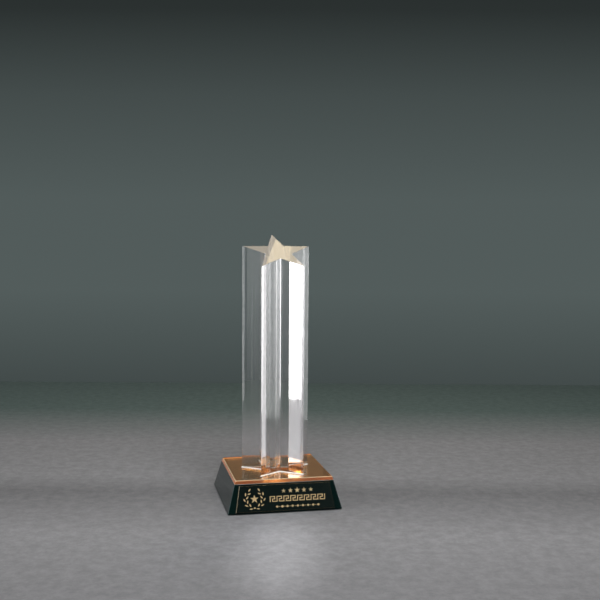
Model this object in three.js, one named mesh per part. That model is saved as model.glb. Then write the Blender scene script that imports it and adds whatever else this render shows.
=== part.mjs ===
// Column trophy: a clear star-section column on an amber mirror sheet and a black pyramid base.
// Millimetres, +Z up. The origin is the centre of the footprint, on the surface it stands on.
// The engraved plate is on the front slope, which faces -Y.
import * as THREE from "three";

// ---- Driving dimensions ----

// Feet
const FOOT_HEIGHT = 1.0;
const FOOT_RADIUS = 6.35;
const FOOT_EDGE_ROUNDING = 0.3;
const FOOT_INSET = 13; // from the block's side to the foot's centre
const FOOT_SIDES = 40;

// Base block and the sheet on it, one continuous slope
const BASE_WIDTH = 101.6;
const BLOCK_HEIGHT = 24.2;
const SIDE_LEAN = THREE.MathUtils.degToRad(15);
const CORNER_CUT = 0.4; // flat on each sloped corner edge
const ADHESIVE_THICKNESS = 0.15;
const COATING_THICKNESS = 0.1;
const SHEET_THICKNESS = 3.2;
const FILM_INSET = 0.2; // adhesive and coating stop this far inside the slope

// Star column
const STAR_POINTS = 5;
const STAR_RADIUS = 32.5;
const STAR_INNER_RATIO = 0.382; // a true pentagram
const STAR_OFFSET = -7.5; // the column stands forward of the base's centre
const COLUMN_HEIGHT = 198.4; // sheet to the slanted top, on the column's axis
const TOP_SLANT = THREE.MathUtils.degToRad(25.4);
const TIP_EASE = 0.7;
const NOTCH_EASE = 0.9;
const EASE_SEGMENTS = 4;
const CEMENT_THICKNESS = 0.1;
const CEMENT_INSET = 0.6;

// Nameplate, measured along the front slope
const PLATE_BOTTOM_WIDTH = 88.4;
const PLATE_TOP_WIDTH = 80.6;
const PLATE_HEIGHT = 23.2;
const PLATE_RISE = 0.9; // from the block's bottom edge to the plate's
const TAPE_THICKNESS = 0.15;
const TAPE_INSET = 1.2;
const CORE_THICKNESS = 0.5;
const FACE_THICKNESS = 0.25;
const FACE_INSET = 0.55; // what the 45 degree bevel takes off each side of the core, and a hair more
const SLOPE_GAP = 0.02; // clearance between the pieces stacked on the slope

// Engraving, in the plate's own frame: X along it, Y up the slope from the block's bottom edge
const WREATH = { x: -27.4, y: 12.2, radius: 7.6, leaves: 9, leafLength: 3.5, leafWidth: 1.4 };
const WREATH_START = THREE.MathUtils.degToRad(20); // from straight down to the first leaf
const WREATH_STEP = THREE.MathUtils.degToRad(16.5);
const LEAF_TILT = THREE.MathUtils.degToRad(26);
const LEAF_STAGGER = 1.2; // alternate leaves sit this far outside and inside the wreath's circle
const WREATH_TIE = { halfWidth: 1.3, halfHeight: 0.8 };
const WREATH_STAR_RADIUS = 4.1;
const TEXT_X = 10.8; // centre of the three ornament rows
const STAR_ROW = { y: 18.1, pitch: 6.1, radii: [2.2, 2.5, 2.8, 2.5, 2.2] };
const KEY_ROW = { y: 9.5, units: 8, stepX: 2.03, stepY: 2.05, stroke: 0.9 };
const KEY_UNIT_STEPS = 3; // steps along the row from one turn of the key to the next
const LOZENGE_ROW = { y: 4.9, count: 9, pitch: 4.6, halfWidth: 1.6, halfHeight: 1.2, dotRadius: 0.45 };

// ---- Heights of the stacked layers ----

const blockBottom = FOOT_HEIGHT;
const blockTop = blockBottom + BLOCK_HEIGHT;
const coatingBottom = blockTop + ADHESIVE_THICKNESS;
const sheetBottom = coatingBottom + COATING_THICKNESS;
const sheetTop = sheetBottom + SHEET_THICKNESS;
const columnBottom = sheetTop + CEMENT_THICKNESS;
const columnAxisTop = sheetTop + COLUMN_HEIGHT;

// ---- Materials ----

function plainMaterial(color, roughness, metalness, opacity = 1) {
  const transparent = opacity < 1;
  return new THREE.MeshStandardMaterial({ color, roughness, metalness, opacity, transparent });
}

const clearAcrylic = plainMaterial(0xeef1f0, 0.03, 0, 0.35);
const clearCement = plainMaterial(0xf3f1e8, 0.1, 0, 0.5);
const amberAcrylic = plainMaterial(0xc8641e, 0.05, 0, 0.6);
const mirrorFilm = plainMaterial(0xb9a06a, 0.08, 1);
const whiteAdhesive = plainMaterial(0xd8d6cc, 0.6, 0);
const blackAcrylic = plainMaterial(0x0b1112, 0.08, 0);
const blackFace = plainMaterial(0x0d0f10, 0.2, 0);
const goldCore = plainMaterial(0xc9a765, 0.35, 0.8);
const clearRubber = plainMaterial(0x2a2c2d, 0.7, 0);

// ---- Geometry helpers ----

// A closed solid through two or more flat rings of points, listed upwards, each counter-clockwise from above.
function loftedSolid(rings) {
  const count = rings[0].length;
  const positions = rings.flat().flatMap((point) => [point.x, point.y, point.z]);
  const indices = [];
  for (let level = 0; level < rings.length - 1; level++) {
    for (let i = 0; i < count; i++) {
      const lower = level * count + i;
      const lowerNext = level * count + ((i + 1) % count);
      indices.push(lower, lowerNext, lowerNext + count);
      indices.push(lower, lowerNext + count, lower + count);
    }
  }
  const topStart = (rings.length - 1) * count;
  for (let i = 1; i < count - 1; i++) {
    indices.push(0, i + 1, i);
    indices.push(topStart, topStart + i, topStart + i + 1);
  }
  const geometry = new THREE.BufferGeometry();
  geometry.setAttribute("position", new THREE.Float32BufferAttribute(positions, 3));
  geometry.setIndex(indices);
  geometry.computeVertexNormals();
  return geometry;
}

// Half of the base's width at a height, on the common slope of the block and the sheet.
function halfWidthAt(height) {
  return BASE_WIDTH / 2 - (height - blockBottom) * Math.tan(SIDE_LEAN);
}

// A square ring with a small flat on each corner.
function squareRing(height, inset = 0) {
  const half = halfWidthAt(height) - inset;
  const cut = half - CORNER_CUT;
  const corners = [[half, cut], [cut, half], [-cut, half], [-half, cut]];
  const opposite = corners.map(([x, y]) => [-x, -y]);
  return [...corners, ...opposite].map(([x, y]) => new THREE.Vector3(x, y, height));
}

// One layer of the base between two heights.
function baseLayer(bottom, top, inset = 0) {
  return loftedSolid([squareRing(bottom, inset), squareRing(top, inset)]);
}

// The corners of a star with its first point towards +Y.
function starCorners(radius, innerRatio = STAR_INNER_RATIO) {
  const corners = [];
  for (let i = 0; i < STAR_POINTS * 2; i++) {
    const reach = i % 2 === 0 ? radius : radius * innerRatio;
    const angle = Math.PI / 2 + (i * Math.PI) / STAR_POINTS;
    corners.push(new THREE.Vector2(reach * Math.cos(angle), reach * Math.sin(angle)));
  }
  return corners;
}

// The column's section: a star whose tips and notches are slightly eased.
function easedStar(radius) {
  const corners = starCorners(radius);
  const shape = new THREE.Shape();
  corners.forEach((corner, i) => {
    const ease = i % 2 === 0 ? TIP_EASE : NOTCH_EASE;
    const before = corners.at(i - 1);
    const after = corners[(i + 1) % corners.length];
    const start = before.clone().sub(corner).setLength(ease).add(corner);
    const end = after.clone().sub(corner).setLength(ease).add(corner);
    if (i === 0) shape.moveTo(start.x, start.y);
    else shape.lineTo(start.x, start.y);
    shape.quadraticCurveTo(corner.x, corner.y, end.x, end.y);
  });
  shape.closePath();
  return shape;
}

function extruded(shape, depth) {
  return new THREE.ExtrudeGeometry(shape, { depth, bevelEnabled: false, curveSegments: EASE_SEGMENTS });
}

function namedMesh(name, geometry, material) {
  const mesh = new THREE.Mesh(geometry, material);
  mesh.name = name;
  return mesh;
}

// ---- Base ----

function foot(name, x, y) {
  const profile = [
    new THREE.Vector2(0, 0),
    new THREE.Vector2(FOOT_RADIUS - FOOT_EDGE_ROUNDING, 0),
    new THREE.Vector2(FOOT_RADIUS, FOOT_EDGE_ROUNDING),
    new THREE.Vector2(FOOT_RADIUS, FOOT_HEIGHT),
    new THREE.Vector2(0, FOOT_HEIGHT),
  ];
  const geometry = new THREE.LatheGeometry(profile, FOOT_SIDES).rotateX(Math.PI / 2);
  const mesh = namedMesh(name, geometry, clearRubber);
  mesh.position.set(x, y, 0);
  return mesh;
}

function feet() {
  const group = new THREE.Group();
  const reach = BASE_WIDTH / 2 - FOOT_INSET;
  for (const [row, y] of [["front", -reach], ["rear", reach]]) {
    for (const [side, x] of [["left", -reach], ["right", reach]]) {
      group.add(foot(`foot_${row}_${side}`, x, y));
    }
  }
  return group;
}

function base() {
  const group = new THREE.Group();
  group.add(feet());
  group.add(namedMesh("base_block", baseLayer(blockBottom, blockTop), blackAcrylic));
  group.add(namedMesh("base_adhesive", baseLayer(blockTop, coatingBottom, FILM_INSET), whiteAdhesive));
  group.add(namedMesh("mirror_coating", baseLayer(coatingBottom, sheetBottom, FILM_INSET), mirrorFilm));
  group.add(namedMesh("amber_sheet", baseLayer(sheetBottom, sheetTop), amberAcrylic));
  return group;
}

// ---- Star column ----

// The column stands upright and its top follows a plane that rises towards the back.
function starColumn() {
  const height = columnAxisTop - columnBottom;
  const geometry = extruded(easedStar(STAR_RADIUS), height);
  const position = geometry.getAttribute("position");
  for (let i = 0; i < position.count; i++) {
    const onTop = position.getZ(i) > height / 2;
    const rise = onTop ? position.getY(i) * Math.tan(TOP_SLANT) : 0;
    position.setZ(i, position.getZ(i) + rise);
  }
  geometry.translate(0, STAR_OFFSET, columnBottom);
  geometry.computeVertexNormals();
  return namedMesh("star_column", geometry, clearAcrylic);
}

function columnCement() {
  const geometry = extruded(easedStar(STAR_RADIUS - CEMENT_INSET), CEMENT_THICKNESS);
  const position = geometry.getAttribute("position");
  for (let i = 0; i < position.count; i++) {
    const level = position.getZ(i) > CEMENT_THICKNESS / 2 ? columnBottom : sheetTop;
    position.setXYZ(i, position.getX(i), position.getY(i) + STAR_OFFSET, level);
  }
  return namedMesh("column_cement", geometry, clearCement);
}

// ---- Nameplate ----

// The plate's outline pulled in by an inset, at a height off the slope.
function plateRing(inset, height) {
  const sideLean = (PLATE_BOTTOM_WIDTH - PLATE_TOP_WIDTH) / 2 / PLATE_HEIGHT;
  const sideInset = inset * Math.hypot(1, sideLean);
  const bottom = PLATE_RISE + inset;
  const top = PLATE_RISE + PLATE_HEIGHT - inset;
  const halfAt = (y) => PLATE_BOTTOM_WIDTH / 2 - (y - PLATE_RISE) * sideLean - sideInset;
  return [
    new THREE.Vector3(-halfAt(bottom), bottom, height),
    new THREE.Vector3(halfAt(bottom), bottom, height),
    new THREE.Vector3(halfAt(top), top, height),
    new THREE.Vector3(-halfAt(top), top, height),
  ];
}

function starCut(x, y, radius) {
  return new THREE.Path(starCorners(radius).map((corner) => corner.add(new THREE.Vector2(x, y))));
}

function lozengeCut(x, y, halfWidth, halfHeight) {
  const path = new THREE.Path();
  path.moveTo(x + halfWidth, y);
  path.lineTo(x, y + halfHeight);
  path.lineTo(x - halfWidth, y);
  path.lineTo(x, y - halfHeight);
  path.closePath();
  return path;
}

function dotCut(x, y, radius) {
  const start = Math.PI / 8; // keeps the dot's corners off the row's centre line
  return new THREE.Path().absarc(x, y, radius, start, start + Math.PI * 2);
}

// A pointed leaf of two curves about its own centre.
function leafCut(x, y, angle, length, width) {
  const along = new THREE.Vector2(Math.cos(angle), Math.sin(angle)).multiplyScalar(length / 2);
  const across = new THREE.Vector2(-Math.sin(angle), Math.cos(angle)).multiplyScalar(width);
  const path = new THREE.Path();
  path.moveTo(x - along.x, y - along.y);
  path.quadraticCurveTo(x + across.x, y + across.y, x + along.x, y + along.y);
  path.quadraticCurveTo(x - across.x, y - across.y, x - along.x, y - along.y);
  return path;
}

// A wreath of two branches that climb from a tie at the bottom, open at the top, round a star.
function wreathCuts() {
  const { x: centreX, y: centreY, radius } = WREATH;
  const cuts = [
    starCut(centreX, centreY, WREATH_STAR_RADIUS),
    lozengeCut(centreX, centreY - radius, WREATH_TIE.halfWidth, WREATH_TIE.halfHeight),
  ];
  for (const side of [-1, 1]) {
    for (let i = 0; i < WREATH.leaves; i++) {
      const outward = i % 2 === 0 ? 1 : -1;
      const angle = -Math.PI / 2 + side * (WREATH_START + i * WREATH_STEP);
      const reach = radius + outward * LEAF_STAGGER;
      const x = centreX + reach * Math.cos(angle);
      const y = centreY + reach * Math.sin(angle);
      const heading = angle + side * (Math.PI / 2 - outward * LEAF_TILT);
      cuts.push(leafCut(x, y, heading, WREATH.leafLength, WREATH.leafWidth));
    }
  }
  return cuts;
}

function starRowCuts() {
  const { y, pitch, radii } = STAR_ROW;
  const first = TEXT_X - ((radii.length - 1) * pitch) / 2;
  return radii.map((radius, i) => starCut(first + i * pitch, y, radius));
}

// A key pattern: one line of square turns, cut at a constant width.
function keyRowCut() {
  const span = KEY_ROW.units * KEY_UNIT_STEPS;
  const squareEnd = KEY_ROW.stroke / 2 / KEY_ROW.stepY;
  const turns = [[0, -squareEnd]];
  for (let start = 0; start < span; start += KEY_UNIT_STEPS) {
    if (start > 0) turns.push([start, 0]);
    turns.push([start, 2], [start + 2, 2], [start + 2, 1], [start + 1, 1], [start + 1, 0]);
  }
  turns.push([span, 0], [span, 2 + squareEnd]);
  const left = TEXT_X - (span * KEY_ROW.stepX) / 2;
  const line = turns.map(([column, row]) =>
    new THREE.Vector2(left + column * KEY_ROW.stepX, KEY_ROW.y + row * KEY_ROW.stepY));
  return new THREE.Path(strokeOutline(line, KEY_ROW.stroke));
}

// The outline of a line of square turns drawn with a given width.
function strokeOutline(line, width) {
  const sides = line.map((point, i) => {
    const arriving = point.clone().sub(line[Math.max(i - 1, 0)]).normalize();
    const leaving = line[Math.min(i + 1, line.length - 1)].clone().sub(point).normalize();
    const offset = new THREE.Vector2(-arriving.y - leaving.y, arriving.x + leaving.x);
    offset.multiplyScalar(width / 2);
    return [point.clone().add(offset), point.clone().sub(offset)];
  });
  return [...sides.map(([left]) => left), ...sides.reverse().map(([, right]) => right)];
}

function lozengeRowCuts() {
  const { y, count, pitch, halfWidth, halfHeight, dotRadius } = LOZENGE_ROW;
  const first = TEXT_X - ((count - 1) * pitch) / 2;
  const cuts = [];
  for (let i = 0; i < count; i++) {
    cuts.push(lozengeCut(first + i * pitch, y, halfWidth, halfHeight));
    if (i > 0) cuts.push(dotCut(first + (i - 0.5) * pitch, y, dotRadius));
  }
  return cuts;
}

// The black ply: a thin plate with the ornament cut right through it.
function faceGeometry() {
  const outline = plateRing(FACE_INSET, 0).map((point) => new THREE.Vector2(point.x, point.y));
  const shape = new THREE.Shape(outline);
  shape.holes.push(...wreathCuts(), ...starRowCuts(), keyRowCut(), ...lozengeRowCuts());
  return extruded(shape, FACE_THICKNESS);
}

// The plate's pieces lie in a group whose XY plane is the front slope.
function nameplate() {
  const group = new THREE.Group();
  group.position.set(0, -BASE_WIDTH / 2, blockBottom);
  group.rotation.x = Math.PI / 2 - SIDE_LEAN;
  const tapeTop = SLOPE_GAP + TAPE_THICKNESS;
  const coreBottom = tapeTop + SLOPE_GAP;
  const coreTop = coreBottom + CORE_THICKNESS;
  const tape = loftedSolid([plateRing(TAPE_INSET, SLOPE_GAP), plateRing(TAPE_INSET, tapeTop)]);
  const core = loftedSolid([plateRing(0, coreBottom), plateRing(CORE_THICKNESS, coreTop)]);
  const face = namedMesh("nameplate_face", faceGeometry(), blackFace);
  face.position.z = coreTop + SLOPE_GAP;
  group.add(namedMesh("nameplate_tape", tape, whiteAdhesive));
  group.add(namedMesh("nameplate_core", core, goldCore));
  group.add(face);
  return group;
}

// ---- Assembly ----

const trophy = new THREE.Group();
trophy.add(base());
trophy.add(nameplate());
trophy.add(columnCement());
trophy.add(starColumn());

export default trophy;
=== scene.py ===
"""Column trophy: surfaces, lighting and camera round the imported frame. Metres, +Z up."""
import math

import bmesh
import bpy
from mathutils import Matrix, Vector
from mathutils.geometry import tessellate_polygon


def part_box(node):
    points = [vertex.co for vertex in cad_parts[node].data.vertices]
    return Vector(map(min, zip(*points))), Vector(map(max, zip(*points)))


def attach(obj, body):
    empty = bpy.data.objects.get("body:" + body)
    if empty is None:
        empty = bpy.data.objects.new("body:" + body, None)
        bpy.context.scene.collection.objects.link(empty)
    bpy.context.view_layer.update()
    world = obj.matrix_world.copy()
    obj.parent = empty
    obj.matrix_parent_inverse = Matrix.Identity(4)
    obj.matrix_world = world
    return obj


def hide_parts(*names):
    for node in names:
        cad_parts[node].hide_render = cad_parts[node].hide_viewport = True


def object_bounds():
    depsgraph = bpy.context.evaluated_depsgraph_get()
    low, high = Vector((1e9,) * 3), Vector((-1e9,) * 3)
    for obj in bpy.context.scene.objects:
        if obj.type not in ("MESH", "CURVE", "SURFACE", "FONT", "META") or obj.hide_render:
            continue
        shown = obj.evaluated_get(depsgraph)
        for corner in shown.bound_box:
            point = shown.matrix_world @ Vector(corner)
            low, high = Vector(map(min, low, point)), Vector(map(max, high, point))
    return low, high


MM = 0.001
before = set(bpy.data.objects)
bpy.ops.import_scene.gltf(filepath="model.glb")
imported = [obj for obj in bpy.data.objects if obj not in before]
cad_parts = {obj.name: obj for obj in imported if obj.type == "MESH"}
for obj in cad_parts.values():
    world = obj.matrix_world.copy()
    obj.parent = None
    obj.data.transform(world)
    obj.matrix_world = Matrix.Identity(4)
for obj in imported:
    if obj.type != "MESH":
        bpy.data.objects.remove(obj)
cad_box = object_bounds()

# ---- Sizes ----

CONTACT_GAP = 0.01 * MM  # between surfaces that are bonded, so that they never coincide
WELD = 0.001 * MM  # points of a CAD mesh nearer than this are one point
ARRIS = 0.18 * MM  # polished edge of the acrylic
SHEET_ARRIS = 0.6 * MM
SHEET_CORNER = 0.5 * MM
BEAD_WIDTH = 0.8 * MM  # of the cement squeezed out round the column's foot
BEAD_HEIGHT = 0.9 * MM
BLOCK_EDGE = 0.25 * MM
PLATE_EDGE = 0.06 * MM
FOOT_EDGE = 0.12 * MM
MITRE_LIMIT = 0.5  # a sharp corner moves out by at most 1 / MITRE_LIMIT times the distance asked for
FLAT_WITHIN = math.radians(0.4)  # faces that meet at less than this are one flat face
SAME_WAY = 0.95  # directions whose cosine is over this count as the same

# Acrylic
ACRYLIC_IOR = 1.49
CLEAR_TINT = (0.985, 0.972, 0.982)
AMBER_TINT = (1.0, 0.42, 0.08)
AMBER_DEEP = (0.98, 0.39, 0.06)

# Camera
CAMERA_AZIMUTH = math.radians(-10.62)
CAMERA_ELEVATION = math.radians(8.13)
CAMERA_DISTANCE = 0.8525
CAMERA_LENS = 55.6
CAMERA_SENSOR = 36.0
CAMERA_PAN = math.radians(1.478)  # turned right of the trophy
CAMERA_TILT = math.radians(4.14)  # and up from it
CAMERA_ROLL = math.radians(-0.38)

# Stage
STAGE_REACH = 3.0
STAGE_TURN = CAMERA_AZIMUTH - CAMERA_PAN  # the stage is square to the camera's heading
# The floor's colour carries painted light and shade: painted shade beside the trophy, and a painted fall to
# dark green-grey behind it.
FLOOR_PALE = (0.230, 0.229, 0.238)
FLOOR_PAINTED_SHADE = (0.112, 0.147, 0.140)
FLOOR_PAINTED_LIGHT = [  # painted light and shade: distance behind the trophy's centre, the paint there and how light it is
    (-0.23, FLOOR_PALE, 0.81),
    (-0.11, FLOOR_PALE, 1.0),
    (0.016, FLOOR_PALE, 0.69),
    (0.07, FLOOR_PALE, 0.99),
    (0.23, FLOOR_PALE, 1.0),
    (0.43, FLOOR_PAINTED_SHADE, 1.0),
]
SCUFF_TONES = [  # value of the noise, then how light the scuffs leave the paint there
    (0.40, 0.89),
    (0.50, 1.00),
    (0.60, 1.12),
]
# The backdrop is not lit: it gives out its own painted light, graded by height.
BACKDROP_DISTANCE = 0.66
BACKDROP_HEIGHT = 0.75
BACKDROP_HUE = (0.80, 1.0, 0.98)
BACKDROP_GLOW = [  # share of the backdrop's height, then how brightly it glows there
    (0.0, 0.070),
    (0.2, 0.108),
    (0.4, 0.105),
    (0.62, 0.072),
    (0.8, 0.031),
    (1.0, 0.018),
]

# Lights
ROOM_GREY = (0.085, 0.092, 0.09)
WHITE = (1.0, 1.0, 1.0)
OVERHEAD_WARMTH = (1.0, 0.82, 0.52)
SHEET_LIGHT_WARMTH = (1.0, 0.72, 0.42)
CARD_HEIGHT = 0.6
CARD_EVEN_HEIGHT = 0.2  # a standing card is evenly bright above this
CEMENT_LOW, CEMENT_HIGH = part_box("column_cement")
LIGHTS_LEVEL = 30 * MM
COLUMN_FOOT = Vector((0, (CEMENT_LOW.y + CEMENT_HIGH.y) / 2, LIGHTS_LEVEL))  # the lights stand round it


# ---- Materials ----

def new_material(name, **values):
    """A material whose Principled shader has these sockets set."""
    material = bpy.data.materials.new(name)
    material.use_nodes = True
    shader = material.node_tree.nodes["Principled BSDF"]
    for socket, value in values.items():
        shader.inputs[socket.replace("_", " ")].default_value = value
    return material


def add_node(material, kind, **settings):
    node = material.node_tree.nodes.new(kind)
    for name, value in settings.items():
        setattr(node, name, value)
    return node


def link(material, output, target):
    material.node_tree.links.new(output, target)


def drive(material, socket, output):
    """Let a node's output set one of the shader's sockets."""
    link(material, output, material.node_tree.nodes["Principled BSDF"].inputs[socket])


def scaled(colour, factor):
    return [factor * part for part in colour]


def noise(material, scale, detail=3.0, stretch=(1, 1, 1), roughness=0.5):
    """Noise in the object's own space; scale is in waves per metre."""
    coordinates = add_node(material, "ShaderNodeTexCoord")
    mapping = add_node(material, "ShaderNodeMapping")
    mapping.inputs["Scale"].default_value = stretch
    texture = add_node(material, "ShaderNodeTexNoise")
    texture.inputs["Scale"].default_value = scale
    texture.inputs["Detail"].default_value = detail
    texture.inputs["Roughness"].default_value = roughness
    link(material, coordinates.outputs["Object"], mapping.inputs["Vector"])
    link(material, mapping.outputs["Vector"], texture.inputs["Vector"])
    return texture.outputs["Fac"]


def ramp(material, factor, stops):
    """A colour ramp; stops are (position, colour) pairs."""
    node = add_node(material, "ShaderNodeValToRGB")
    elements = node.color_ramp.elements
    while len(elements) < len(stops):
        elements.new(0.5)
    for element, (position, colour) in zip(elements, stops):
        element.position = position
        element.color = (*colour, 1.0)
    link(material, factor, node.inputs["Fac"])
    return node.outputs["Color"]


def remap(material, factor, low, high):
    """The factor carried from 0..1 to low..high."""
    node = add_node(material, "ShaderNodeMapRange")
    node.inputs["To Min"].default_value = low
    node.inputs["To Max"].default_value = high
    link(material, factor, node.inputs["Value"])
    return node.outputs["Result"]


def multiply(material, first, second):
    """Two colours multiplied together."""
    node = add_node(material, "ShaderNodeMix", data_type="RGBA", blend_type="MULTIPLY")
    share, first_colour, second_colour = [socket for socket in node.inputs if socket.enabled]
    share.default_value = 1.0
    link(material, first, first_colour)
    link(material, second, second_colour)
    return next(socket for socket in node.outputs if socket.enabled)


def vary_colour(material, pattern, dark, light):
    """Base colour from dark to light over the middle of a pattern."""
    drive(material, "Base Color", ramp(material, pattern, [(0.3, dark), (0.7, light)]))


def vary_roughness(material, pattern, low, high):
    drive(material, "Roughness", remap(material, pattern, low, high))


def bump(material, height, strength, distance):
    node = add_node(material, "ShaderNodeBump")
    node.inputs["Strength"].default_value = strength
    node.inputs["Distance"].default_value = distance
    link(material, height, node.inputs["Height"])
    drive(material, "Normal", node.outputs["Normal"])


def clear_acrylic():
    """Polished cast acrylic, with faint dull lines that the polishing leaves up and down the faces."""
    material = new_material("clear_acrylic", Base_Color=(*CLEAR_TINT, 1), IOR=ACRYLIC_IOR,
                            Transmission_Weight=0.985)
    across = noise(material, 380.0, detail=1.0, stretch=(1, 1, 0))
    dull = ramp(material, across, [(0.53, scaled(WHITE, 0.0)), (0.64, scaled(WHITE, 0.13))])
    drive(material, "Roughness", dull)
    return material


def amber_acrylic():
    """Polished amber acrylic; the depth of colour varies a little across the sheet."""
    material = new_material("amber_acrylic", IOR=ACRYLIC_IOR, Roughness=0.0, Transmission_Weight=1.0)
    drift = noise(material, 18.0, detail=2.0)
    vary_colour(material, drift, AMBER_DEEP, AMBER_TINT)
    return material


def amber_edge():
    """The sheet's satin edge, where light gathered inside comes out."""
    material = new_material("amber_edge", IOR=ACRYLIC_IOR, Transmission_Weight=0.84, Specular_IOR_Level=0.2)
    cut = noise(material, 300.0, detail=3.0)
    vary_colour(material, cut, (0.95, 0.25, 0.09), (1.0, 0.32, 0.12))
    vary_roughness(material, cut, 0.28, 0.42)
    return material


def amber_arris():
    """The sheet's polished arris: too thin to look coloured."""
    material = new_material("amber_arris", IOR=ACRYLIC_IOR, Transmission_Weight=0.5)
    drift = noise(material, 120.0, detail=2.0)
    vary_colour(material, drift, (1.0, 0.66, 0.38), (1.0, 0.76, 0.50))
    vary_roughness(material, drift, 0.0, 0.12)
    return material


def cement_bead():
    """Milky bead of cement squeezed out round the column's foot."""
    material = new_material("cement_bead", IOR=ACRYLIC_IOR, Transmission_Weight=0.05)
    bead = noise(material, 350.0, detail=3.0)
    vary_colour(material, bead, (0.90, 0.88, 0.84), (1.0, 0.99, 0.97))
    vary_roughness(material, bead, 0.25, 0.5)
    return material


def bonded_face(name, tint):
    """Where two clear solids are bonded: light passes as if there were no surface."""
    material = new_material(name, Roughness=0.0, IOR=1.0, Transmission_Weight=1.0)
    haze = noise(material, 60.0, detail=2.0)
    vary_colour(material, haze, scaled(tint, 0.985), tint)
    return material


def mirror_film():
    """Silvered coating under the sheet, faintly cloudy."""
    material = new_material("silver_film", Metallic=1.0)
    cloud = noise(material, 90.0, detail=4.0)
    vary_colour(material, cloud, (0.80, 0.80, 0.78), (0.86, 0.86, 0.84))
    vary_roughness(material, cloud, 0.02, 0.05)
    return material


def black_acrylic():
    """Polished black acrylic with a green cast and a slight orange-peel haze."""
    material = new_material("black_acrylic", IOR=ACRYLIC_IOR, Specular_IOR_Level=0.28,
                            Specular_Tint=(0.48, 1.0, 1.0, 1))
    cloud = noise(material, 45.0, detail=5.0)
    vary_colour(material, cloud, (0.001, 0.006, 0.005), (0.003, 0.010, 0.009))
    haze = noise(material, 260.0, detail=6.0)
    vary_roughness(material, haze, 0.02, 0.07)
    bump(material, haze, 0.02, 0.1 * MM)
    return material


def black_ply():
    """The nameplate's black top ply, finely grained."""
    material = new_material("black_ply", IOR=1.5)
    grain = noise(material, 900.0, detail=4.0)
    vary_colour(material, grain, (0.001, 0.004, 0.003), (0.002, 0.007, 0.006))
    vary_roughness(material, grain, 0.16, 0.28)
    bump(material, grain, 0.06, 0.02 * MM)
    return material


def gold_ply():
    """Satin gold plastic, faintly brushed along the plate."""
    material = new_material("gold_ply", Metallic=0.1, IOR=1.5)
    brushed = noise(material, 500.0, detail=5.0, stretch=(0.08, 1, 1))
    vary_colour(material, brushed, (0.50, 0.35, 0.18), (0.65, 0.47, 0.25))
    vary_roughness(material, brushed, 0.38, 0.52)
    bump(material, brushed, 0.1, 0.02 * MM)
    return material


def gold_edge():
    """The plate's polished gold bevel, which shows only where it catches a light."""
    material = new_material("gold_edge", Metallic=1.0)
    brushed = noise(material, 700.0, detail=4.0)
    vary_colour(material, brushed, (0.050, 0.043, 0.032), (0.075, 0.066, 0.050))
    vary_roughness(material, brushed, 0.12, 0.24)
    return material


def foam_tape():
    """Off-white adhesive foam, dull and cellular."""
    material = new_material("foam_tape", IOR=1.45)
    cells = noise(material, 1500.0, detail=3.0)
    vary_colour(material, cells, (0.46, 0.45, 0.42), (0.60, 0.58, 0.54))
    vary_roughness(material, cells, 0.6, 0.85)
    bump(material, cells, 0.3, 0.05 * MM)
    return material


def foot_rubber():
    """Matt dark grey rubber, finely speckled."""
    material = new_material("foot_rubber", IOR=1.5)
    speckle = noise(material, 1100.0, detail=4.0)
    vary_colour(material, speckle, (0.018, 0.019, 0.020), (0.035, 0.036, 0.037))
    vary_roughness(material, speckle, 0.6, 0.8)
    bump(material, speckle, 0.25, 0.06 * MM)
    return material


# ---- Mesh helpers ----

def new_piece(name, mesh, materials, slot, *nodes):
    """A finished piece that rides with the trophy and stands for the CAD nodes named."""
    piece = bpy.data.objects.new(name, mesh)
    bpy.context.scene.collection.objects.link(piece)
    for material in materials:
        mesh.materials.append(material)
    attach(piece, "root")
    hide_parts(*nodes)
    return piece


def shade(piece, smooth_below):
    """Smooth shading over edges flatter than an angle in degrees, with large flat faces kept flat."""
    mesh = piece.data
    for polygon in mesh.polygons:
        polygon.use_smooth = True
    mesh.set_sharp_from_angle(angle=math.radians(smooth_below))
    modifier = piece.modifiers.new("flat_faces", "WEIGHTED_NORMAL")
    modifier.weight = 100
    modifier.keep_sharp = True


def cad_copy(node):
    """A bmesh of a CAD node with its flat faces whole again."""
    shape = bmesh.new()
    shape.from_mesh(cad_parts[node].data)
    bmesh.ops.remove_doubles(shape, verts=shape.verts, dist=WELD)
    bmesh.ops.dissolve_limit(shape, angle_limit=FLAT_WITHIN, verts=shape.verts, edges=shape.edges)
    bmesh.ops.recalc_face_normals(shape, faces=shape.faces)
    return shape


def edges_sharper_than(shape, angle):
    """The edges where the surface turns by more than an angle in degrees."""
    limit = math.radians(angle)
    return [edge for edge in shape.edges if edge.is_manifold and edge.calc_face_angle() > limit]


def bevel(shape, edges, width, segments=2):
    bmesh.ops.bevel(shape, geom=edges, offset=width, offset_type="OFFSET", segments=segments,
                    profile=0.5, affect="EDGES", clamp_overlap=True)


def to_mesh(shape, name):
    mesh = bpy.data.meshes.new(name)
    shape.to_mesh(mesh)
    shape.free()
    return mesh


def underside_outline(node):
    """The outline of a CAD node's underside, counter-clockwise from above."""
    shape = cad_copy(node)
    under = min(shape.faces, key=lambda face: face.calc_center_median().z)
    outline = [vertex.co.copy() for vertex in under.verts]
    shape.free()
    return outline[::-1]


def ring(shape, points):
    return [shape.verts.new(point) for point in points]


def bridge(shape, lower, upper):
    """The band of faces between two rings of as many points."""
    faces = []
    for i, vertex in enumerate(lower):
        after = (i + 1) % len(lower)
        faces.append(shape.faces.new((vertex, lower[after], upper[after], upper[i])))
    return faces


def rounded_square(half, radius, height, steps=5):
    """A square ring with round corners, counter-clockwise from above."""
    points = []
    for quarter in range(4):
        corner = Matrix.Rotation(quarter * math.pi / 2, 3, "Z") @ Vector((half - radius, half - radius, 0))
        for step in range(steps + 1):
            angle = (quarter + step / steps) * math.pi / 2
            points.append(corner + Vector((radius * math.cos(angle), radius * math.sin(angle), height)))
    return points


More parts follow.
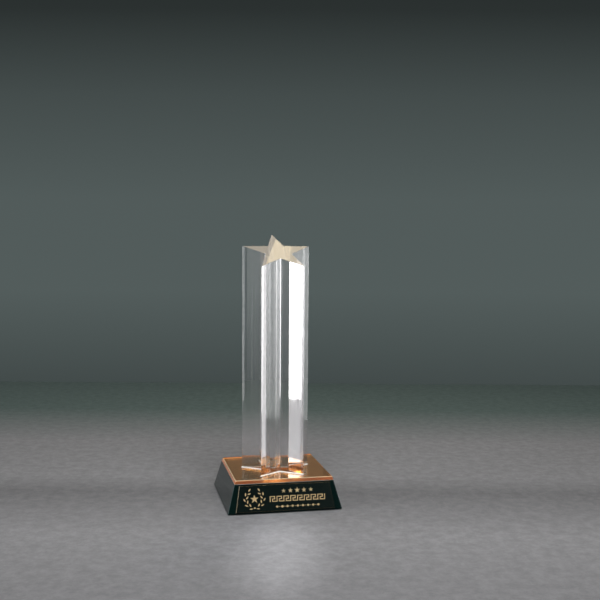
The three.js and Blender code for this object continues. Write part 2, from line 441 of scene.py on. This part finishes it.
def grown(points, distance, height):
    """An outline moved outwards by a distance and set at a height."""
    moved = []
    for before, point, after in zip(points[-1:] + points[:-1], points, points[1:] + points[:1]):
        first = (point - before).xy.normalized()
        second = (after - point).xy.normalized()
        outward = Vector((first.y + second.y, -first.x - second.x)).normalized()
        reach = distance / max(outward.dot(Vector((first.y, -first.x))), MITRE_LIMIT)
        moved.append(Vector((*(point.xy + outward * reach), height)))
    return moved


# ---- Base ----

def block():
    """The black block, with polished edges."""
    shape = cad_copy("base_block")
    bevel(shape, edges_sharper_than(shape, 20), BLOCK_EDGE, segments=3)
    piece = new_piece("block", to_mesh(shape, "block"), [black_acrylic()], "black_acrylic", "base_block")
    shade(piece, smooth_below=40)


def sheet():
    """The amber sheet: sloped satin edges, open to the column above and the mirror below."""
    materials = [amber_acrylic(), amber_edge(), amber_arris(), bonded_face("amber_bond", AMBER_TINT),
                 bonded_face("coated_face", WHITE)]
    edge_skin, arris_skin, bond_skin, coated_skin = 1, 2, 3, 4
    low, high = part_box("amber_sheet")
    block_low, block_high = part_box("base_block")
    lean = (block_high.x - high.x) / (low.z - block_low.z)
    shape = bmesh.new()

    def level(height, inset=0.0):
        """A ring of the sheet's sloped side at a height."""
        half = high.x - (height - low.z) * lean - inset
        return ring(shape, rounded_square(half, SHEET_CORNER, height))

    bottom, top = low.z + CONTACT_GAP, high.z
    bottom_ring = level(bottom, inset=ARRIS)
    edge_foot = level(bottom + ARRIS)
    edge_head = level(top - SHEET_ARRIS)
    top_ring = level(top, inset=SHEET_ARRIS)
    bands = [(bottom_ring, edge_foot, arris_skin), (edge_foot, edge_head, edge_skin),
             (edge_head, top_ring, arris_skin)]
    for lower, upper, skin in bands:
        for face in bridge(shape, lower, upper):
            face.material_index = skin
    shape.faces.new(bottom_ring[::-1]).material_index = coated_skin
    bond_ring = ring(shape, [Vector((p.x, p.y, top)) for p in underside_outline("column_cement")])
    shape.faces.new(bond_ring).material_index = bond_skin
    border = top_ring + bond_ring
    outlines = [[vertex.co for vertex in outline] for outline in (top_ring, bond_ring)]
    for triangle in tessellate_polygon(outlines):
        shape.faces.new([border[i] for i in triangle])
    bmesh.ops.recalc_face_normals(shape, faces=shape.faces)
    piece = new_piece("sheet", to_mesh(shape, "sheet"), materials, "amber_acrylic", "amber_sheet")
    shade(piece, smooth_below=50)


def feet():
    """Four rubber feet, all of one rubber, with softened edges."""
    rubber = foot_rubber()
    for row in ("front", "rear"):
        for side in ("left", "right"):
            node = f"foot_{row}_{side}"
            shape = cad_copy(node)
            bevel(shape, edges_sharper_than(shape, 30), FOOT_EDGE)
            piece = new_piece(f"bumper_{row}_{side}", to_mesh(shape, node), [rubber], "foot_rubber", node)
            shade(piece, smooth_below=50)


# ---- Column ----

def column():
    """The star column, with polished arrises round its ends and its foot open to the bond."""
    materials = [clear_acrylic(), bonded_face("clear_bond", WHITE)]
    bond_skin = 1
    shape = cad_copy("star_column")
    low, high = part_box("star_column")
    tallest_rise = (high.z - low.z) / 4

    def goes_round_an_end(edge):
        return abs(edge.verts[0].co.z - edge.verts[1].co.z) < tallest_rise

    bevel(shape, [edge for edge in edges_sharper_than(shape, 30) if goes_round_an_end(edge)], ARRIS)
    shape.normal_update()
    for face in shape.faces:
        if face.normal.z < -SAME_WAY:
            face.material_index = bond_skin
    for vertex in shape.verts:
        if vertex.co.z < low.z + WELD:
            vertex.co.z += CONTACT_GAP
    piece = new_piece("column", to_mesh(shape, "column"), materials, "clear_acrylic", "star_column")
    shade(piece, smooth_below=25)


def cement():
    """The bond under the column and the bead squeezed out round its foot."""
    materials = [bonded_face("cement_film", WHITE), cement_bead()]
    bead_skin = 1
    shape = cad_copy("column_cement")
    low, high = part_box("column_cement")
    for vertex in shape.verts:
        vertex.co.z += CONTACT_GAP if vertex.co.z < (low.z + high.z) / 2 else -CONTACT_GAP
    foot = underside_outline("star_column")
    sheet_level = low.z + CONTACT_GAP
    section = [  # how far out from the foot, then how high above the sheet
        (CONTACT_GAP, 0.0),
        (BEAD_WIDTH, 0.0),
        (0.6 * BEAD_WIDTH, 0.5 * BEAD_HEIGHT),
        (CONTACT_GAP, BEAD_HEIGHT),
    ]
    rings = [ring(shape, grown(foot, reach, sheet_level + rise)) for reach, rise in section]
    for lower, upper in zip(rings, rings[1:] + rings[:1]):
        for face in bridge(shape, lower, upper):
            face.material_index = bead_skin
            face.smooth = True
    bmesh.ops.recalc_face_normals(shape, faces=shape.faces)
    new_piece("cement", to_mesh(shape, "cement"), materials, "clear_cement", "column_cement")


# ---- Nameplate ----

def plate_piece(name, node, materials, slot):
    """One ply of the nameplate; its bevelled edges take the last material."""
    shape = cad_copy(node)
    bevel(shape, edges_sharper_than(shape, 30), PLATE_EDGE)
    shape.normal_update()
    front = max(shape.faces, key=lambda face: face.calc_area() * (face.normal.y < 0))
    outward = front.normal.copy()
    for face in shape.faces:
        if face.normal.dot(outward) < SAME_WAY:
            face.material_index = len(materials) - 1
    piece = new_piece(name, to_mesh(shape, name), materials, slot, node)
    shade(piece, smooth_below=50)


def dress_node(node, material):
    """Give a CAD node that stays in view its own material."""
    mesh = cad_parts[node].data
    mesh.materials.clear()
    mesh.materials.append(material)


# ---- Stage ----

def plane(name, corners, material, turn=0.0):
    """A flat four-cornered piece of the stage."""
    mesh = bpy.data.meshes.new(name)
    mesh.from_pydata(corners, [], [(0, 1, 2, 3)])
    mesh.materials.append(material)
    piece = bpy.data.objects.new(name, mesh)
    piece.rotation_euler.z = turn
    bpy.context.scene.collection.objects.link(piece)
    return piece


def along_axis(material, axis, start, end):
    """How far a point lies between two places on one of the object's axes, from 0 to 1."""
    coordinates = add_node(material, "ShaderNodeTexCoord")
    split = add_node(material, "ShaderNodeSeparateXYZ")
    node = add_node(material, "ShaderNodeMapRange")
    node.inputs["From Min"].default_value = start
    node.inputs["From Max"].default_value = end
    link(material, coordinates.outputs["Object"], split.inputs["Vector"])
    link(material, split.outputs[axis], node.inputs["Value"])
    return node.outputs["Result"]


def floor_with_painted_light():
    """Pale grey floor, faintly scuffed, with painted light and shade: painted shade beside the trophy, and a
    painted fall to dark behind it.
    """
    material = new_material("floor_with_painted_light", Specular_IOR_Level=0.0)
    nearest, farthest = FLOOR_PAINTED_LIGHT[0][0], FLOOR_PAINTED_LIGHT[-1][0]
    depth = along_axis(material, "Y", nearest, farthest)
    # painted light and shade along the floor, by distance behind the trophy
    painted_tones = [((distance - nearest) / (farthest - nearest), scaled(colour, lightness))
             for distance, colour, lightness in FLOOR_PAINTED_LIGHT]
    scuffs = noise(material, 95.0, detail=9.0, roughness=0.8)
    worn = ramp(material, scuffs, [(value, scaled(WHITE, lightness)) for value, lightness in SCUFF_TONES])
    drive(material, "Base Color", multiply(material, ramp(material, depth, painted_tones), worn))
    vary_roughness(material, scuffs, 0.4, 0.65)
    return material


def glowing(name, strength):
    """A material that only gives out light."""
    return new_material(name, Roughness=1.0, Base_Color=(0, 0, 0, 1), Specular_IOR_Level=0.0,
                        Emission_Strength=strength)


def backdrop_painted_glow():
    """Backdrop that glows with painted light in place of lit paper, lightest a fifth of the way up."""
    material = glowing("backdrop_painted_glow", 1.0)
    height = along_axis(material, "Z", 0.0, BACKDROP_HEIGHT)
    glow = [(share, scaled(BACKDROP_HUE, brightness)) for share, brightness in BACKDROP_GLOW]
    drive(material, "Emission Color", ramp(material, height, glow))
    return material


def stage():
    """The floor, and the backdrop that stands behind the trophy."""
    reach, back, height = STAGE_REACH, BACKDROP_DISTANCE, BACKDROP_HEIGHT
    floor_corners = [(-reach, -reach, 0), (reach, -reach, 0), (reach, reach, 0), (-reach, reach, 0)]
    backdrop_corners = [(-reach, back, 0), (reach, back, 0), (reach, back, height), (-reach, back, height)]
    plane("floor", floor_corners, floor_with_painted_light(), STAGE_TURN)
    plane("backdrop", backdrop_corners, backdrop_painted_glow(), STAGE_TURN)


# ---- Lights and camera ----

def place(name, data, location, direction):
    """A lamp at a place, pointing in a direction."""
    lamp = bpy.data.objects.new(name, data)
    lamp.location = location
    lamp.rotation_euler = direction.to_track_quat("-Z", "Y").to_euler()
    bpy.context.scene.collection.objects.link(lamp)
    return lamp


def softbox(name, azimuth, elevation, distance, size, radiance, colour=WHITE):
    """A soft light that faces the column. Azimuth 0 is straight behind it, 90 to its right."""
    width, height = size
    data = bpy.data.lights.new(name, "AREA")
    data.shape = "RECTANGLE"
    data.size = width
    data.size_y = height
    data.energy = radiance * math.pi * width * height
    data.color = colour
    level = math.cos(math.radians(elevation))
    towards = Vector((math.sin(math.radians(azimuth)) * level, math.cos(math.radians(azimuth)) * level,
                      math.sin(math.radians(elevation))))
    return place(name, data, COLUMN_FOOT + towards * distance, -towards)


def lying_card(name, azimuth, near, far, width, radiance):
    """A soft light that lies face up on the floor, between two distances from the column.

    It shows in the column, and casts no light on matt surfaces.
    """
    card = softbox(name, azimuth, 0, (near + far) / 2, (width, far - near), radiance)
    card.location.z = 3 * MM
    card.rotation_euler = (math.pi, 0, math.radians(-azimuth))
    card.visible_diffuse = False


def lit_card(name, low_radiance, high_radiance):
    """Card lit from above: its brightness changes evenly from its foot to CARD_EVEN_HEIGHT."""
    brightest = max(low_radiance, high_radiance)
    material = glowing(name, brightest)
    height = along_axis(material, "Z", 0.0, CARD_EVEN_HEIGHT)
    stops = [(0.0, scaled(WHITE, low_radiance / brightest)), (1.0, scaled(WHITE, high_radiance / brightest))]
    drive(material, "Emission Color", ramp(material, height, stops))
    return material


def standing_card(name, azimuths, distance, radiance, lift=5 * MM):
    """A glowing card that fills a range of azimuths as the column sees it.

    Radiance is at the card's foot, then higher up. Only clear and glossy surfaces show it.
    """
    start, end = azimuths
    middle = math.radians((start + end) / 2)
    half = distance * math.tan(math.radians(end - start) / 2)
    centre = COLUMN_FOOT.xy + Vector((math.sin(middle), math.cos(middle))) * distance
    along = Vector((math.cos(middle), -math.sin(middle))) * half
    left, right = centre - along, centre + along
    corners = [(*left, lift), (*right, lift), (*right, CARD_HEIGHT), (*left, CARD_HEIGHT)]
    card = plane(name, corners, lit_card(name, *radiance))
    card.visible_camera = False
    card.visible_diffuse = False
    card.visible_shadow = False


def pool_of_light():
    """Light that the column gathers and throws on the floor in front of the base."""
    data = bpy.data.lights.new("pool", "SPOT")
    data.energy = 11.0
    data.spot_size = math.radians(17)
    data.spot_blend = 1.0
    data.shadow_soft_size = 0.02
    turn = Matrix.Rotation(STAGE_TURN, 3, "Z")
    location = turn @ Vector((0.008, -0.36, 0.6))
    target = turn @ Vector((0.008, -0.155, 0))
    lamp = place("pool", data, location, target - location)
    lamp.scale = (0.42, 1.2, 1.0)
    return lamp


def room():
    """The dim grey light that comes from everywhere."""
    world = bpy.data.worlds.new("studio")
    bpy.context.scene.world = world
    world.use_nodes = True
    background = world.node_tree.nodes["Background"]
    background.inputs["Color"].default_value = (*ROOM_GREY, 1)
    background.inputs["Strength"].default_value = 1.0


def lights():
    """Cards and soft boxes that the column shows as bright and dark bands, then the lamps for the rest."""
    standing_card("left_card", azimuths=(-114.5, -103), distance=0.50, radiance=(3.5, 3.5))
    standing_card("left_card_dim", azimuths=(-124, -114.5), distance=0.42, radiance=(0.2, 1.4))
    standing_card("left_softbox", azimuths=(-102, -60), distance=0.37, radiance=(1.6, 6.0))
    standing_card("left_strip", azimuths=(-46, -24), distance=0.50, radiance=(1.3, 1.6))
    standing_card("right_softbox", azimuths=(68, 103), distance=0.31, radiance=(2.2, 4.4), lift=13 * MM)
    standing_card("right_card", azimuths=(118, 133.5), distance=0.37, radiance=(0.62, 0.68), lift=3 * MM)
    standing_card("right_card_bright", azimuths=(133.5, 150), distance=0.37, radiance=(2.0, 2.0))
    lying_card("right_card_foot", azimuth=131.5, near=0.10, far=0.372, width=0.12, radiance=0.42)
    lying_card("left_card_foot", azimuth=-109, near=0.08, far=0.49, width=0.13, radiance=0.31)
    softbox("overhead", azimuth=29.2, elevation=50, distance=1.1, size=(0.28, 0.5), radiance=3.15,
            colour=OVERHEAD_WARMTH)
    softbox("overhead_dim", azimuth=9.0, elevation=50, distance=1.1, size=(0.22, 0.5), radiance=1.8,
            colour=OVERHEAD_WARMTH)
    softbox("sheet_light", azimuth=10.6, elevation=15, distance=0.6, size=(0.16, 0.08), radiance=0.11,
            colour=SHEET_LIGHT_WARMTH)
    fill = softbox("fill", azimuth=-178, elevation=58, distance=1.0, size=(0.6, 0.6), radiance=9.3)
    pool = pool_of_light()
    kicker = softbox("kicker", azimuth=-100, elevation=14, distance=2.5, size=(1.2, 1.1), radiance=6.0)
    for lamp in (fill, pool, kicker):
        lamp.visible_glossy = False
        lamp.visible_transmission = False


def camera():
    """The camera, aimed a little off the trophy's middle and hardly rolled."""
    data = bpy.data.cameras.new("camera")
    data.lens = CAMERA_LENS
    data.sensor_width = CAMERA_SENSOR
    cam = bpy.data.objects.new("camera", data)
    bpy.context.scene.collection.objects.link(cam)
    low, high = cad_box
    middle = Vector((0, 0, (low.z + high.z) / 2))
    level = math.cos(CAMERA_ELEVATION)
    back = Vector((math.sin(CAMERA_AZIMUTH) * level, -math.cos(CAMERA_AZIMUTH) * level,
                   math.sin(CAMERA_ELEVATION)))
    facing = (-back).to_track_quat("-Z", "Y").to_matrix()
    panned = Matrix.Rotation(-CAMERA_PAN, 3, "Z") @ facing
    turned = panned @ Matrix.Rotation(CAMERA_TILT, 3, "X") @ Matrix.Rotation(-CAMERA_ROLL, 3, "Z")
    cam.matrix_world = Matrix.Translation(middle + back * CAMERA_DISTANCE) @ turned.to_4x4()
    bpy.context.scene.camera = cam


camera()
stage()
room()
lights()
block()
sheet()
column()
cement()
feet()
dress_node("mirror_coating", mirror_film())
tape = foam_tape()
dress_node("base_adhesive", tape)
dress_node("nameplate_tape", tape)
plate_piece("plate_core", "nameplate_core", [gold_ply(), gold_edge()], "gold_ply")
plate_piece("plate_face", "nameplate_face", [black_ply()], "black_ply")

bpy.context.scene.cycles.max_bounces = 32
bpy.context.scene.cycles.transmission_bounces = 32
bpy.context.scene.cycles.glossy_bounces = 16
bpy.context.scene.view_settings.view_transform = "Standard"
